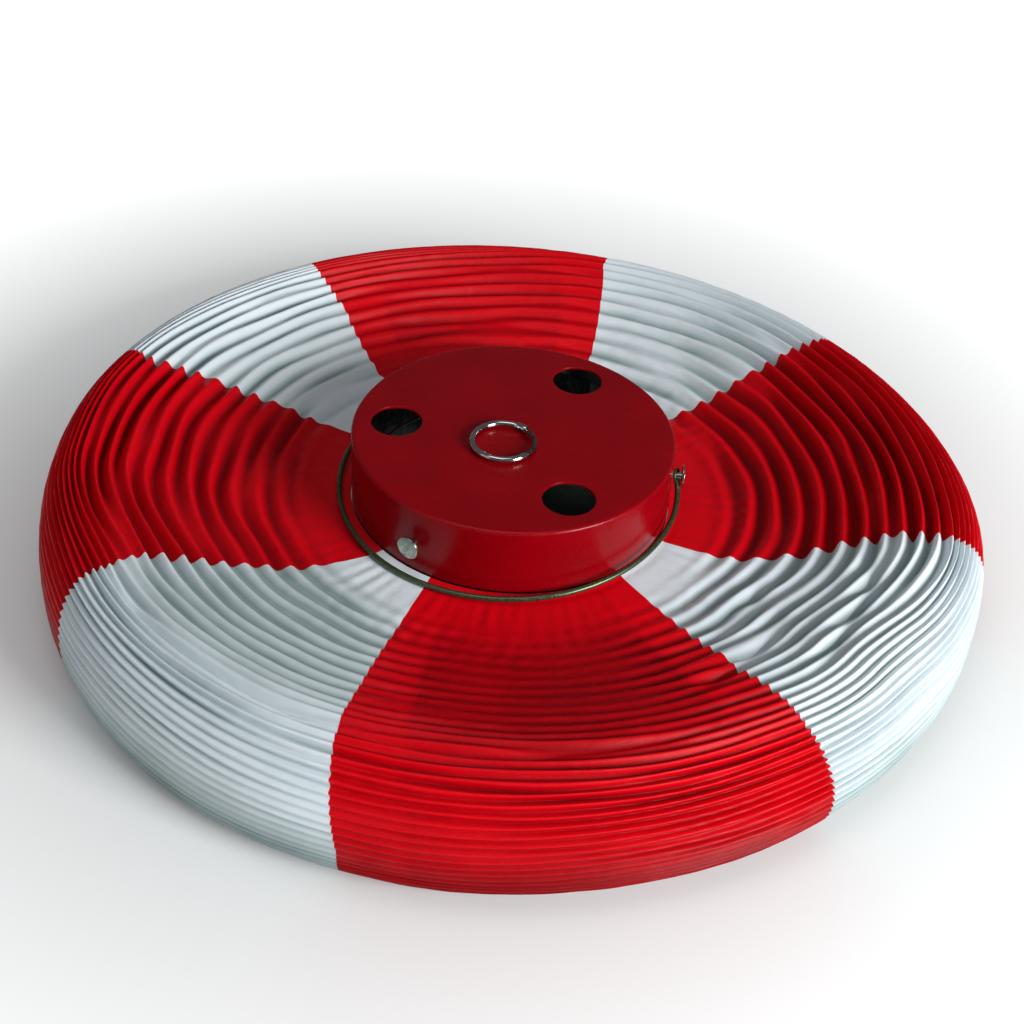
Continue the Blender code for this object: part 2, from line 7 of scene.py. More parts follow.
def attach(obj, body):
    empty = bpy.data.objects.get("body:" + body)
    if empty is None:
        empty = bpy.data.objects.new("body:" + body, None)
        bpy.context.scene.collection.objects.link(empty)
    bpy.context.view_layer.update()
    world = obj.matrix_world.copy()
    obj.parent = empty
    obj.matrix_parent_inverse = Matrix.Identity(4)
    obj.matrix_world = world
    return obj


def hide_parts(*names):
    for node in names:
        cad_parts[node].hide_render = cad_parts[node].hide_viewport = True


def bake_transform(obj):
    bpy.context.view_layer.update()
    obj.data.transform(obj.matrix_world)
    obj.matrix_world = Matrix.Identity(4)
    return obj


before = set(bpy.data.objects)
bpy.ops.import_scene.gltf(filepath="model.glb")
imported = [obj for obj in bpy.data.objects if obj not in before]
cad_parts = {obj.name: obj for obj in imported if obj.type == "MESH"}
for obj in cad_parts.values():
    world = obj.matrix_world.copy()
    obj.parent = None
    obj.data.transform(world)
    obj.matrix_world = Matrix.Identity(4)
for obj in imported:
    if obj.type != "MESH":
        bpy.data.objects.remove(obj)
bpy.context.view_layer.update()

# A folded red and white marker ball: pleated cloth between two steel caps.
# Every new piece is worked out as whole numpy arrays and set into its mesh at its own place.
# Lengths are in metres and angles in degrees; "down" is counted from the top of the ball down its side,
# and "round" about Z from +X.


def linear(hexColour):
    # sRGB hex to linear: c / 12.92 below 0.04045, else ((c + 0.055) / 1.055) ^ 2.4
    parts = np.array([int(hexColour[i:i + 2], 16) for i in (0, 2, 4)]) / 255
    curve = np.where(parts < 0.04045, parts / 12.92, ((parts + 0.055) / 1.055) ** 2.4)
    return (*[float(c) for c in curve], 1.0)


def smooth(low, high, x):
    # 0 below low, 1 above high, 3t^2 - 2t^3 between
    t = np.clip((x - low) / (high - low), 0, 1)
    return t * t * (3 - 2 * t)


def turned(points, degrees):
    # points turned about Z
    a = np.radians(degrees)
    spin = np.array([[np.cos(a), np.sin(a), 0], [-np.sin(a), np.cos(a), 0], [0, 0, 1]])
    return points @ spin


def around(degrees, radius=1.0, height=0.0):
    # the point at an angle round Z
    a = np.radians(np.asarray(degrees, float))
    return np.stack([radius * np.cos(a), radius * np.sin(a), height + 0 * a], -1)


def gridQuads(rows, columns, closedRows=False, closedColumns=False, first=0):
    # corner numbers of a grid's faces: (r, c), (r, c+1), (r+1, c+1), (r+1, c)
    r = np.arange(rows if closedRows else rows - 1)[:, None]
    c = np.arange(columns if closedColumns else columns - 1)[None, :]
    nextR, nextC = (r + 1) % rows, (c + 1) % columns
    quads = np.stack([r * columns + c, r * columns + nextC,
                      nextR * columns + nextC, nextR * columns + c], -1)
    return quads.reshape(-1, 4) + first


def makePiece(name, points, faces, material, sharp=None, weld=0.0):
    # one mesh from points (n, 3) and faces; weld merges points that share a place
    mesh = bpy.data.meshes.new(name)
    mesh.from_pydata(np.asarray(points, float).tolist(), [], [list(f) for f in faces])
    piece = bpy.data.objects.new(name, mesh)
    bpy.context.scene.collection.objects.link(piece)
    if weld:
        form = bmesh.new()
        form.from_mesh(mesh)
        bmesh.ops.remove_doubles(form, verts=form.verts, dist=weld)
        bmesh.ops.dissolve_degenerate(form, edges=form.edges, dist=weld / 10)
        bmesh.ops.recalc_face_normals(form, faces=form.faces)
        form.to_mesh(mesh)
        form.free()
    mesh.polygons.foreach_set("use_smooth", np.ones(len(mesh.polygons), bool))
    if sharp:
        mesh.set_sharp_from_angle(angle=np.radians(sharp))
    mesh.materials.append(material)
    return piece


def joinGrids(grids):
    # several grids (points, closedRows, closedColumns) as one list of points and faces
    points, faces, first = [], [], 0
    for grid, closedRows, closedColumns in grids:
        points.append(grid.reshape(-1, 3))
        faces.append(gridQuads(*grid.shape[:2], closedRows, closedColumns, first))
        first += len(points[-1])
    return np.concatenate(points), np.concatenate(faces)


def spun(profile, steps):
    # a profile of (radius, height) carried round Z: (r cos a, r sin a, h)
    profile = np.asarray(profile, float)
    a = np.linspace(0, 2 * np.pi, steps, endpoint=False)
    r, h = profile[:, 0][:, None], profile[:, 1][:, None]
    return np.stack([r * np.cos(a), r * np.sin(a), h + 0 * a], -1)


def placed(points, centre, axis):
    # points moved so that their Z runs along axis and their origin is at centre
    z = np.asarray(axis, float) / np.linalg.norm(axis)
    x = np.cross([0.0, 0.0, 1.0], z) if abs(z[2]) < 0.99 else np.array([1.0, 0.0, 0.0])
    x = x / np.linalg.norm(x)
    return points @ np.stack([x, np.cross(z, x), z]) + np.asarray(centre, float)


def wireGrid(path, radius, sides, endRows=4):
    # a round section carried along a path, with a half ball at each end:
    # p + radius (cos b side + sin b up), side and up at right angles to the path
    path = np.asarray(path, float)
    along = np.gradient(path, axis=0)
    along /= np.linalg.norm(along, axis=1)[:, None]
    up = np.array([0.0, 0.0, 1.0]) - along * along[:, 2:3]
    up /= np.linalg.norm(up, axis=1)[:, None]
    q = np.linspace(np.pi / 2, 0, endRows + 1)[:-1]
    back, size = np.sin(q) * radius, np.cos(q) * radius
    size[0] = 0.0
    path = np.concatenate([path[:1] - along[:1] * back[:, None], path,
                           path[-1:] + along[-1:] * back[::-1, None]])
    sizes = np.concatenate([size, np.full(len(along), radius), size[::-1]])
    along = np.concatenate([np.repeat(along[:1], endRows, 0), along, np.repeat(along[-1:], endRows, 0)])
    up = np.concatenate([np.repeat(up[:1], endRows, 0), up, np.repeat(up[-1:], endRows, 0)])
    side = np.cross(along, up)
    b = np.linspace(0, 2 * np.pi, sides, endpoint=False)
    ring = np.cos(b)[:, None] * side[:, None] + np.sin(b)[:, None] * up[:, None]
    return path[:, None] + ring * sizes[:, None, None]


def addNode(tree, kind, inputs=None, **settings):
    # a node with its settings; an input is a value or the socket that feeds it
    node = tree.nodes.new(kind)
    for key, value in settings.items():
        setattr(node, key, value)
    for key, value in (inputs or {}).items():
        if isinstance(value, bpy.types.NodeSocket):
            tree.links.new(value, node.inputs[key])
        else:
            node.inputs[key].default_value = value
    return node


def newMaterial(name, **values):
    # a material and its shader, with constants straight on the shader's sockets
    material = bpy.data.materials.new(name)
    material.use_nodes = True
    tree = material.node_tree
    shader = tree.nodes["Principled BSDF"]
    for key, value in values.items():
        shader.inputs[key].default_value = value
    return material, tree, shader


def setRamp(ramp, stops):
    # stops of (place, colour) on a ColorRamp node
    elements = ramp.color_ramp.elements
    while len(elements) < len(stops):
        elements.new(0.5)
    for element, (place, colour) in zip(elements, stops):
        element.position = place
        element.color = colour


def bumped(tree, shader, height, strength, distance):
    bump = addNode(tree, "ShaderNodeBump", {"Height": height, "Strength": strength, "Distance": distance})
    tree.links.new(bump.outputs["Normal"], shader.inputs["Normal"])


glossIor = 1.5   # of coatings and lacquers
taffeta = {
    "specular": 0.14, "sheen": 0.02, "sheenRoughness": 0.4,
    "foldShadeTone": 0.85, "seamHighlightTone": -0.30, "cloudTone": 0.5, "cloudScale": 14.0,   # cloud and crumple per metre
    "thread": 0.0010053, "crumpleScale": 95.0, "crumpleShare": 14.0, "bump": 0.35, "bumpDepth": 0.0001,
}


def clothMaterial(name, colours, sheenTint, roughness):
    # coated nylon taffeta, woven and calendered: a soft satin light along each fold,
    # with painted shade darkening the colour down in the folds, on the front of the dish and on the lower wall,
    # and a painted highlight beside the seams of two gores; fine thread lines at 1 mm, since the real 0.25 mm
    # would not be seen; a wave node repeats each pi / 10 over its Scale
    c = taffeta
    material, tree, shader = newMaterial(name, **{
        "Roughness": roughness, "IOR": glossIor, "Specular IOR Level": c["specular"],
        "Sheen Weight": c["sheen"], "Sheen Roughness": c["sheenRoughness"], "Sheen Tint": linear(sheenTint),
    })
    place = addNode(tree, "ShaderNodeTexCoord").outputs["Object"]
    fold = addNode(tree, "ShaderNodeAttribute", attribute_name="paintedShade").outputs["Fac"]
    seamHighlight = addNode(tree, "ShaderNodeAttribute", attribute_name="paintedSeamHighlight").outputs["Fac"]
    weave = addNode(tree, "ShaderNodeUVMap", uv_map="cut").outputs["UV"]
    cloudy = addNode(tree, "ShaderNodeTexNoise", {"Vector": place, "Scale": c["cloudScale"], "Detail": 4.0})
    cloudy = cloudy.outputs["Fac"]
    # painted shade: the folds' shade pushes the colour towards the ramp's third, shaded colour
    foldShade = addNode(tree, "ShaderNodeMath", {0: fold, 1: c["foldShadeTone"]}, operation="MULTIPLY").outputs[0]
    spread = addNode(tree, "ShaderNodeMath", {0: cloudy, 1: c["cloudTone"], 2: foldShade}, operation="MULTIPLY_ADD")
    # painted highlight: the seam strips lift the colour towards the ramp's lightest colour
    lifted = addNode(tree, "ShaderNodeMath", {0: seamHighlight, 1: c["seamHighlightTone"], 2: spread.outputs[0]},
                     operation="MULTIPLY_ADD").outputs[0]
    ramp = addNode(tree, "ShaderNodeValToRGB", {"Fac": lifted})
    setRamp(ramp, [(0.10, linear(colours[0])), (0.45, linear(colours[1])), (1.0, linear(colours[2]))])
    tree.links.new(ramp.outputs["Color"], shader.inputs["Base Color"])
    bands = {"Vector": weave, "Scale": np.pi / (10 * c["thread"]), "Distortion": 0.6}
    threads, picks = [addNode(tree, "ShaderNodeTexWave", bands, bands_direction=direction).outputs["Fac"]
                      for direction in ("X", "Y")]
    woven = addNode(tree, "ShaderNodeMath", {0: threads, 1: picks}, operation="ADD").outputs[0]
    crumple = addNode(tree, "ShaderNodeTexNoise", {
        "Vector": place, "Scale": c["crumpleScale"], "Detail": 3.0, "Roughness": 0.55}).outputs["Fac"]
    height = addNode(tree, "ShaderNodeMath", {0: crumple, 1: c["crumpleShare"], 2: woven},
                     operation="MULTIPLY_ADD").outputs[0]
    bumped(tree, shader, height, c["bump"], c["bumpDepth"])
    return material


enamel = {
    "specular": 0.2, "coat": 0.03, "coatRoughness": 0.08, "dark": "86000a", "light": "94000d",
    "cloudScale": 22.0, "scuffScale": 160.0, "polish": 0.22, "scuffed": 0.36,
    "peel": 0.0018, "bump": 0.12, "bumpDepth": 0.0001,
}


def paintMaterial(name):
    # stoved gloss enamel on pressed steel: deep red, a clear wet gloss with faint orange peel and light scuffs
    c = enamel
    material, tree, shader = newMaterial(name, **{
        "IOR": glossIor, "Specular IOR Level": c["specular"], "Coat Weight": c["coat"],
        "Coat Roughness": c["coatRoughness"],
    })
    place = addNode(tree, "ShaderNodeTexCoord").outputs["Object"]
    cloud = addNode(tree, "ShaderNodeTexNoise",
                    {"Vector": place, "Scale": c["cloudScale"], "Detail": 5.0}).outputs["Fac"]
    ramp = addNode(tree, "ShaderNodeValToRGB", {"Fac": cloud})
    setRamp(ramp, [(0.3, linear(c["dark"])), (0.7, linear(c["light"]))])
    tree.links.new(ramp.outputs["Color"], shader.inputs["Base Color"])
    scuff = addNode(tree, "ShaderNodeTexNoise",
                    {"Vector": place, "Scale": c["scuffScale"], "Detail": 6.0}).outputs["Fac"]
    worn = addNode(tree, "ShaderNodeMapRange", {"Value": scuff, "From Min": 0.35, "From Max": 0.75,
                                               "To Min": c["polish"], "To Max": c["scuffed"]}).outputs[0]
    tree.links.new(worn, shader.inputs["Roughness"])
    peel = addNode(tree, "ShaderNodeTexNoise",
                   {"Vector": place, "Scale": 1 / c["peel"], "Detail": 1.0}).outputs["Fac"]
    bumped(tree, shader, peel, c["bump"], c["bumpDepth"])
    return material


metal = {"polished": 0.8, "dulled": 1.3, "bump": 0.10, "grainsDeep": 0.05}


def metalMaterial(name, dark, light, roughness, grain, metallic=1.0):
    # drawn or plated metal: its tone wanders a little and its polish breaks up along the surface
    material, tree, shader = newMaterial(name, Metallic=metallic)
    place = addNode(tree, "ShaderNodeTexCoord").outputs["Object"]
    cloud = addNode(tree, "ShaderNodeTexNoise",
                    {"Vector": place, "Scale": 1 / grain, "Detail": 5.0}).outputs["Fac"]
    ramp = addNode(tree, "ShaderNodeValToRGB", {"Fac": cloud})
    setRamp(ramp, [(0.35, linear(dark)), (0.7, linear(light))])
    tree.links.new(ramp.outputs["Color"], shader.inputs["Base Color"])
    rough = addNode(tree, "ShaderNodeMapRange", {
        "Value": cloud, "From Min": 0.3, "From Max": 0.7,
        "To Min": roughness * metal["polished"], "To Max": roughness * metal["dulled"]}).outputs[0]
    tree.links.new(rough, shader.inputs["Roughness"])
    bumped(tree, shader, cloud, metal["bump"], grain * metal["grainsDeep"])
    return material


# each cloth's third colour is its painted shade, for the folds, the front of the dish and the lower wall
redCloth = clothMaterial("redCoatedTaffeta", ("d80012", "c80011", "820009"), "ff5a64", 0.42)
whiteCloth = clothMaterial("whiteCoatedTaffeta", ("e6eef4", "dae5ea", "90a2a1"), "f4f8ff", 0.48)
redPaint = paintMaterial("redStovedEnamel")
primer = metalMaterial("greyGreenPrimer", "4c5f55", "66796e", 0.6, 0.006, 0.0)   # the caps' unglossed insides
bailSteel = metalMaterial("olivePassivatedWire", "44523a", "5d6b50", 0.30, 0.0015, 0.7)
nickel = metalMaterial("barrelPlatedNickel", "9aa096", "c9ccc2", 0.22, 0.003)
chrome = metalMaterial("polishedChrome", "b6b8b6", "dadcda", 0.10, 0.005)
gateSteel = metalMaterial("drawnStainlessWire", "6a6c6a", "8f918e", 0.24, 0.002)
hoopSteel = metalMaterial("springSteelWire", "4c4f4d", "7a7d7a", 0.35, 0.004)
zinc = metalMaterial("brightZincSteel", "7c8284", "a9afb0", 0.30, 0.004)
print("materials made")


# the frame's own nodes that stay: bands, nuts, rivets and the pin
for nodeName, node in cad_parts.items():
    if nodeName.endswith("hem_band") or nodeName.startswith(("stud_nut", "band_rivet")):
        node.data.materials[0] = zinc
    elif nodeName == "gate_pin":
        node.data.materials[0] = nickel
print("inner nodes finished")

third = 120.0   # degrees from one hole or stud to the next
weldReach = 2e-6   # points closer than this are one point

ball = {
    "radius": 0.300, "hemDeg": 20.40, "dish": 0.0456,
    "floorEnd": 140.0, "floor": 0.0014, "lowerHem": 0.0437, "dishDeg": 24.0,
    "hemRise": 0.0013, "hemRiseDeg": 1.2,   # the cloth turns up where the cap clamps it
    "openCentre": 0.3263, "travel": 0.561,
}
pleats = {
    "inner": 13, "wall": 27, "under": 12,   # pleats from hem to shoulder, down the wall, back to the lower hem
    "footDeg": 116.0, "rowsEach": 9, "columnDeg": 0.75, "fewestColumns": 24,
    "settleDeg": 60.0, "settleTimes": 4,   # for finding where a seam crosses each pleat
    "joint": (-1, 1),   # pleats over which one run's width eases into the next
}
# ramps from and to, in degrees down the meridian unless another way is said
folds = {
    "step": 0.05, "upperEase": (24.0, 33.0), "lowerEase": (147.0, 156.0),
    "bellyIn": (55, 75), "bellyOut": (100, 125),
    "intoWall": (-2, 2),   # pleats either side of the shoulder
    # pairs: among the inner pleats, and what the wall adds
    "drift": (0.28, 0.47), "ripple": (0.08, -0.02), "uneven": (0.45, -0.22),
    "strength": (0.04, 1.25), "leastSlack": 0.05, "lean": 0.10,
    "creaseIn": (0, 0.25), "creaseOut": (0.7, 1.0),   # shares of a crease's length
    "creaseWander": 0.5, "creaseLip": 0.35, "lipAway": 2.6, "lipWide": 1.6,
    "crumple": 0.00010, "gather": 0.00022, "gatherIn": (21.0, 24.0), "gatherOut": (30.0, 37.0),
}
# painted shade in the folds, on the front of the dish and on the lower wall, and a painted highlight beside two
# gores' seams
tones = {
    # painted shade: how sharply it sits in the folds, then its strength and reach on the front of the dish and
    # on the lower wall; then the painted highlight beside the seams
    "sharp": 1.8, "slack": 0.42, "frontShadeLeft": (-158, -138), "frontShadeRight": (-66, -40),   # degrees round
    "frontShadeIn": (22, 34), "frontShadeOut": (52, 64), "lowerShade": 0.80, "lowerShadeIn": (76, 97),
    "stripGores": ("front_red", "back_red"), "stripEdge": (7.2, 8.0), "stripFade": (48, 60), "stripLoss": 0.7,
}
# how each kind of wave wanders: its rate per pleat from and to, its whole turns round the ball, how many sines
waveKinds = {
    "drift": (0.01, 0.05, 1, 5, 8),
    "ripple": (0.05, 0.35, 5, 19, 12),
    "uneven": (0.12, 0.5, 2, 11, 12),
    "fine": (0.4, 1.6, 20, 110, 18),
    "gather": (0.05, 0.3, 30, 100, 12),
}
# where the broad inner pleats give way to the fine ones of the wall, down the meridian, by angle round
shoulderRound = ((-175, 65.0), (-150, 59.0), (-120, 57.0), (-90, 54.0), (-60, 54.0), (-40, 57.0), (-14, 67.0),
                 (40, 68.0), (75, 68.0), (105, 66.0), (135, 66.0), (165, 67.0))
# how strongly the cloth is pleated, by angle round the ball (rows) and down the meridian (columns)
strengthDown = (20.0, 30.0, 40.0, 50.0, 58.0, 66.0, 76.0, 90.0, 116.0, 160.0)
strengthRound = (
    (-170, (0.9, 1.0, 1.0, 1.0, 1.0, 1.0, 0.8, 0.5, 0.9, 1.15)),
    (-148, (0.9, 1.1, 1.1, 1.0, 0.5, 0.8, 0.5, 0.15, 1.0, 1.2)),
    (-130, (0.8, 1.0, 1.1, 1.0, 0.3, 0.8, 0.5, 0.10, 1.1, 1.2)),
    (-112, (0.5, 0.6, 0.65, 0.45, 0.3, 0.7, 0.5, 0.12, 1.2, 1.25)),
    (-95, (0.14, 0.15, 0.18, 0.20, 0.45, 0.75, 0.55, 0.16, 1.25, 1.25)),
    (-72, (0.14, 0.15, 0.18, 0.22, 0.5, 0.8, 0.7, 0.28, 1.25, 1.25)),
    (-52, (0.6, 0.8, 0.9, 0.8, 0.5, 0.6, 0.7, 0.5, 1.0, 1.1)),
    (-30, (1.0, 1.1, 1.2, 1.1, 0.7, 0.6, 0.6, 0.5, 1.0, 1.1)),
    (-12, (1.0, 1.1, 1.2, 1.2, 1.1, 1.0, 0.7, 0.6, 1.0, 1.1)),
    (20, (1.0, 1.1, 1.2, 1.2, 1.1, 1.0, 0.7, 0.6, 1.0, 1.1)),
    (50, (0.9, 0.9, 0.9, 0.9, 0.8, 0.8, 0.7, 0.6, 1.0, 1.1)),
    (85, (0.5, 0.4, 0.5, 0.6, 0.5, 0.6, 0.7, 0.6, 1.0, 1.1)),
    (115, (0.5, 0.4, 0.5, 0.6, 0.5, 0.6, 0.7, 0.6, 1.0, 1.1)),
    (145, (0.7, 0.7, 0.8, 0.8, 0.7, 0.8, 0.7, 0.6, 1.0, 1.1)),
)
crestRound = ((-170, 0.0775), (-148, 0.0775), (-118, 0.0765), (-85, 0.0735), (-50, 0.0700), (-30, 0.0745),
              (-14, 0.0810), (12, 0.0795), (40, 0.0775), (75, 0.0750), (100, 0.0745), (130, 0.0755),
              (160, 0.0770))
# where the wall meets the floor, down the meridian, and how far the cloth bellies out past its circle,
# by angle round
footRound = ((-175, 112.0), (-150, 108.0), (-125, 107.0), (-100, 110.0), (-70, 113.0), (-40, 114.0), (0, 116.0),
             (60, 116.0), (120, 116.0), (160, 115.0))
bellyRound = ((-170, -0.001), (-140, 0.001), (-110, 0.0005), (-80, 0.0), (-50, 0.001), (-25, 0.004),
              (-5, 0.006), (25, 0.002), (60, 0.0), (120, 0.0), (160, 0.0))
# how far down the meridian the crest lies: the shoulder is fuller towards the back
crestDegRound = ((-170, 67.0), (-145, 65.0), (-120, 63.0), (-90, 61.5), (-50, 60.0), (-12, 64.0), (40, 65.0),
                 (75, 68.0), (105, 70.5), (135, 70.5), (165, 69.0))
# seams between the gores: (degrees down the meridian, degrees round) along each
seams = (
    ((20, -115.5), (33, -112.5), (47, -109.5), (70, -106.5), (90, -104.5), (160, -106)),
    ((20, -48.0), (42, -51.0), (65, -52.5), (95, -52.0), (160, -50)),
    ((20, -24.0), (33, -21.0), (45, -15.0), (55, -13.0), (72, -12.5), (95, -11.0), (160, -14)),
    ((20, 43.0), (35, 40.5), (55, 38.4), (75, 37.0), (160, 40)),
    ((20, 70.0), (33, 72.0), (50, 75.0), (65, 77.0), (160, 75)),
    ((20, 131.0), (33, 128.5), (50, 125.4), (75, 125.4), (160, 126)),
    ((20, 155.0), (35, 155.4), (50, 159.0), (62, 161.5), (160, 158)),
    ((20, -136.5), (29, -142.0), (36, -146.0), (46, -150.0), (52, -151.2), (62, -149.0), (90, -147.0),
     (160, -149)),
)
goreNames = ("front_red", "front_right_white", "right_red", "back_right_white",
             "back_red", "back_left_white", "left_red", "front_left_white")
# deep creases across the pleats: round from, to; meridian at each end; depth and half width
creases = (
    (-152, -98, 61.5, 59.0, 0.0045, 1.3),
    (-150, -118, 66.5, 64.0, 0.0020, 1.0),
    (-108, -62, 59.5, 57.5, 0.0034, 1.2),
    (-62, -34, 47.0, 43.5, 0.0030, 1.3),
    (-50, -24, 38.5, 36.5, 0.0022, 1.0),
    (-46, -16, 56.0, 52.0, 0.0028, 1.2),
    (-8, 36, 51.0, 47.0, 0.0020, 1.1),
    (82, 122, 41.0, 43.0, 0.0020, 1.4),
)
waves = np.random.default_rng(7)


def waviness(pleat, roundDeg, slow, fast, fewest, most, count):
    # a seeded sum of sines, each with its own rate per pleat and whole turns round the ball, about -1 to 1
    total = 0.0
    for _ in range(count):
        turns = int(waves.integers(fewest, most + 1))
        rate = waves.uniform(slow, fast) * waves.choice((-1, 1))
        start = waves.uniform(0, 2 * np.pi)
        angle = np.radians(turns * roundDeg) + 2 * np.pi * rate * pleat + start
        total = total + waves.uniform(0.5, 1) * np.sin(angle)
    return total / np.sqrt(count)


def roundTable(table, roundDeg):
    # values along a closed list of (degrees round, value), eased between them
    at = np.array([row[0] for row in table], float)
    values = np.array([row[1] for row in table], float)
    at = np.concatenate([at - 360, at, at + 360])
    values = np.concatenate([values, values, values])
    where = (roundDeg + 180) % 360 - 180
    i = np.clip(np.searchsorted(at, where, side="right") - 1, 0, len(at) - 2)
    t = (where - at[i]) / (at[i + 1] - at[i])
    t = t * t * (3 - 2 * t)
    if values.ndim == 1:
        return values[i] * (1 - t) + values[i + 1] * t
    return values[i] * (1 - t[..., None]) + values[i + 1] * t[..., None]


def strengthAt(down, roundDeg):
    # the pleating table, read smoothly in both directions
    rows = roundTable(strengthRound, roundDeg)
    at = np.array(strengthDown)
    i = np.clip(np.searchsorted(at, down, side="right") - 1, 0, len(at) - 2)
    t = np.clip((down - at[i]) / (at[i + 1] - at[i]), 0, 1)
    low = np.take_along_axis(rows, i[..., None], -1)[..., 0]
    high = np.take_along_axis(rows, (i + 1)[..., None], -1)[..., 0]
    return low * (1 - t) + high * t


def foldedHeight(down, roundDeg):
    # the folded cloth's height: a dish by the cap, a crest, the wall, then the floor and up to the lower hem
    b = ball
    crest, crestDeg = roundTable(crestRound, roundDeg), roundTable(crestDegRound, roundDeg)
    z = b["dish"] + (crest - b["dish"]) * smooth(b["dishDeg"], crestDeg, down)
    z = z + (b["floor"] - crest) * smooth(crestDeg, roundTable(footRound, roundDeg), down)
    z = z + (b["lowerHem"] - b["floor"]) * smooth(b["floorEnd"], 180 - b["hemDeg"], down)
    return z + b["hemRise"] * (1 - smooth(b["hemDeg"], b["hemDeg"] + b["hemRiseDeg"], down))


def meridian(down, roundDeg):
    # the folded envelope's radius R sin d and height h(d), their change for each degree, and its length
    size, step = ball["radius"], folds["step"]
    dr = size * np.cos(np.radians(down)) * np.radians(1)
    dz = (foldedHeight(down + step, roundDeg) - foldedHeight(down - step, roundDeg)) / (2 * step)
    return size * np.sin(np.radians(down)), foldedHeight(down, roundDeg), dr, dz, np.hypot(dr, dz) + 1e-9


def pleatPlace(pleat, roundDeg):
    # degrees down the meridian of a pleat's number, and degrees to a pleat there:
    # three straight runs end to end
    p, hem = pleats, ball["hemDeg"]
    shoulder = roundTable(shoulderRound, roundDeg)
    each = ((shoulder - hem) / p["inner"], (p["footDeg"] - shoulder) / p["wall"],
            (180 - hem - p["footDeg"]) / p["under"])
    past = pleat - p["inner"]
    under = past - p["wall"]
    down = np.where(past < 0, hem + pleat * each[0],
                    np.where(under < 0, shoulder + past * each[1], p["footDeg"] + under * each[2]))
    step = each[0] + (each[1] - each[0]) * smooth(*p["joint"], past)
    return down, step + (each[2] - each[1]) * smooth(*p["joint"], under)


def clothSurface(pleat, roundDeg, waveSet):
    # the folded envelope (R sin d, h(d)) pushed in by depth (1 - |cos pi n|) along its own inward normal,
    # n being the pleat number shifted by slow waves, depth what the cloth's length leaves over in each pleat
    f, t = folds, tones
    size = ball["radius"]
    down, each = pleatPlace(pleat, roundDeg)
    r, z, dr, dz, run = meridian(down, roundDeg)
    r = r + roundTable(bellyRound, roundDeg) * smooth(*f["bellyIn"], down) * (1 - smooth(*f["bellyOut"], down))
    inR, inZ = dz / run, -dr / run
    slack = np.sqrt(np.maximum(1 - (run / (size * np.radians(1))) ** 2, f["leastSlack"]))
    ends = smooth(*f["upperEase"], down) * (1 - smooth(*f["lowerEase"], down))
    inWall = smooth(*f["intoWall"], pleat - pleats["inner"])
    drift, ripple, uneven = [waveSet[kind] * (f[kind][0] + f[kind][1] * inWall)
                             for kind in ("drift", "ripple", "uneven")]
    strength = np.clip(strengthAt(down, roundDeg) * (1 + uneven), *f["strength"])
    depth = 0.5 * size * np.radians(each) * slack * strength * ends
    phase = pleat + (drift + ripple) * ends
    phase = phase + f["lean"] * np.sin(2 * np.pi * phase)   # the outer side of each fold is the steeper
    fold = 1 - np.abs(np.cos(np.pi * phase))
    push = depth * fold
    # each crease is a groove with a low lip above it: exp(-g^2) - lip exp(-((g + away) / wide)^2)
    for start, stop, fromDeg, toDeg, deep, wide in creases:
        along = (roundDeg - start) / (stop - start)
        window = smooth(*f["creaseIn"], along) * (1 - smooth(*f["creaseOut"], along))
        line = fromDeg + (toDeg - fromDeg) * along + f["creaseWander"] * waveSet["ripple"]
        gap = (down - line) / wide
        lip = f["creaseLip"] * np.exp(-((gap + f["lipAway"]) / f["lipWide"]) ** 2)
        push = push + window * deep * (np.exp(-gap * gap) - lip)
    crumple = waveSet["fine"] * f["crumple"] * ends
    gather = (waveSet["gather"] - 1.0) * f["gather"] * smooth(*f["gatherIn"], down)
    gather = gather * (1 - smooth(*f["gatherOut"], down))
    push = push + crumple - gather
    # painted shade on the slack front of the dish, which curves away from the light
    frontShade = smooth(*t["frontShadeLeft"], roundDeg) * (1 - smooth(*t["frontShadeRight"], roundDeg))
    frontShade = frontShade * smooth(*t["frontShadeIn"], down) * (1 - smooth(*t["frontShadeOut"], down))
    # painted shade on the lower wall, standing in for the dimmer light near the ground
    lowerWallShade = smooth(*t["lowerShadeIn"], down)
    # painted shade: darker down in each fold, on the front of the dish and on the lower wall
    shade = fold ** t["sharp"] * np.clip(strength, 0, 1) * ends + t["slack"] * frontShade + t["lowerShade"] * lowerWallShade
    return r + push * inR, z + push * inZ, np.clip(shade, 0, 1)


def openShare(down, z):
    # how far a point goes with the rising cap so that the open ball is round
    b = ball
    return np.clip((b["openCentre"] + b["radius"] * np.cos(np.radians(down)) - z) / b["travel"], 0, 1)


def rideBetween(piece, share):
    # Each point is set for a moment at the place t on a unit line where 3t^2 - 2t^3 is its share, the transform
    # is baked, and the point is put back.
    count = len(piece.data.vertices)
    points = np.empty(count * 3)
    piece.data.vertices.foreach_get("co", points)
    t = 0.5 - np.sin(np.arcsin(1 - 2 * share) / 3)
    line = np.zeros((count, 3))
    line[:, 2] = t
    piece.data.vertices.foreach_set("co", line.ravel())
    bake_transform(piece)
    piece.data.vertices.foreach_set("co", points)
    piece.data.update()


def seamAt(index, down):
    # degrees round of a seam at each place down the meridian
    table = np.array(seams[index], float)
    return np.interp(down, table[:, 0], table[:, 1])


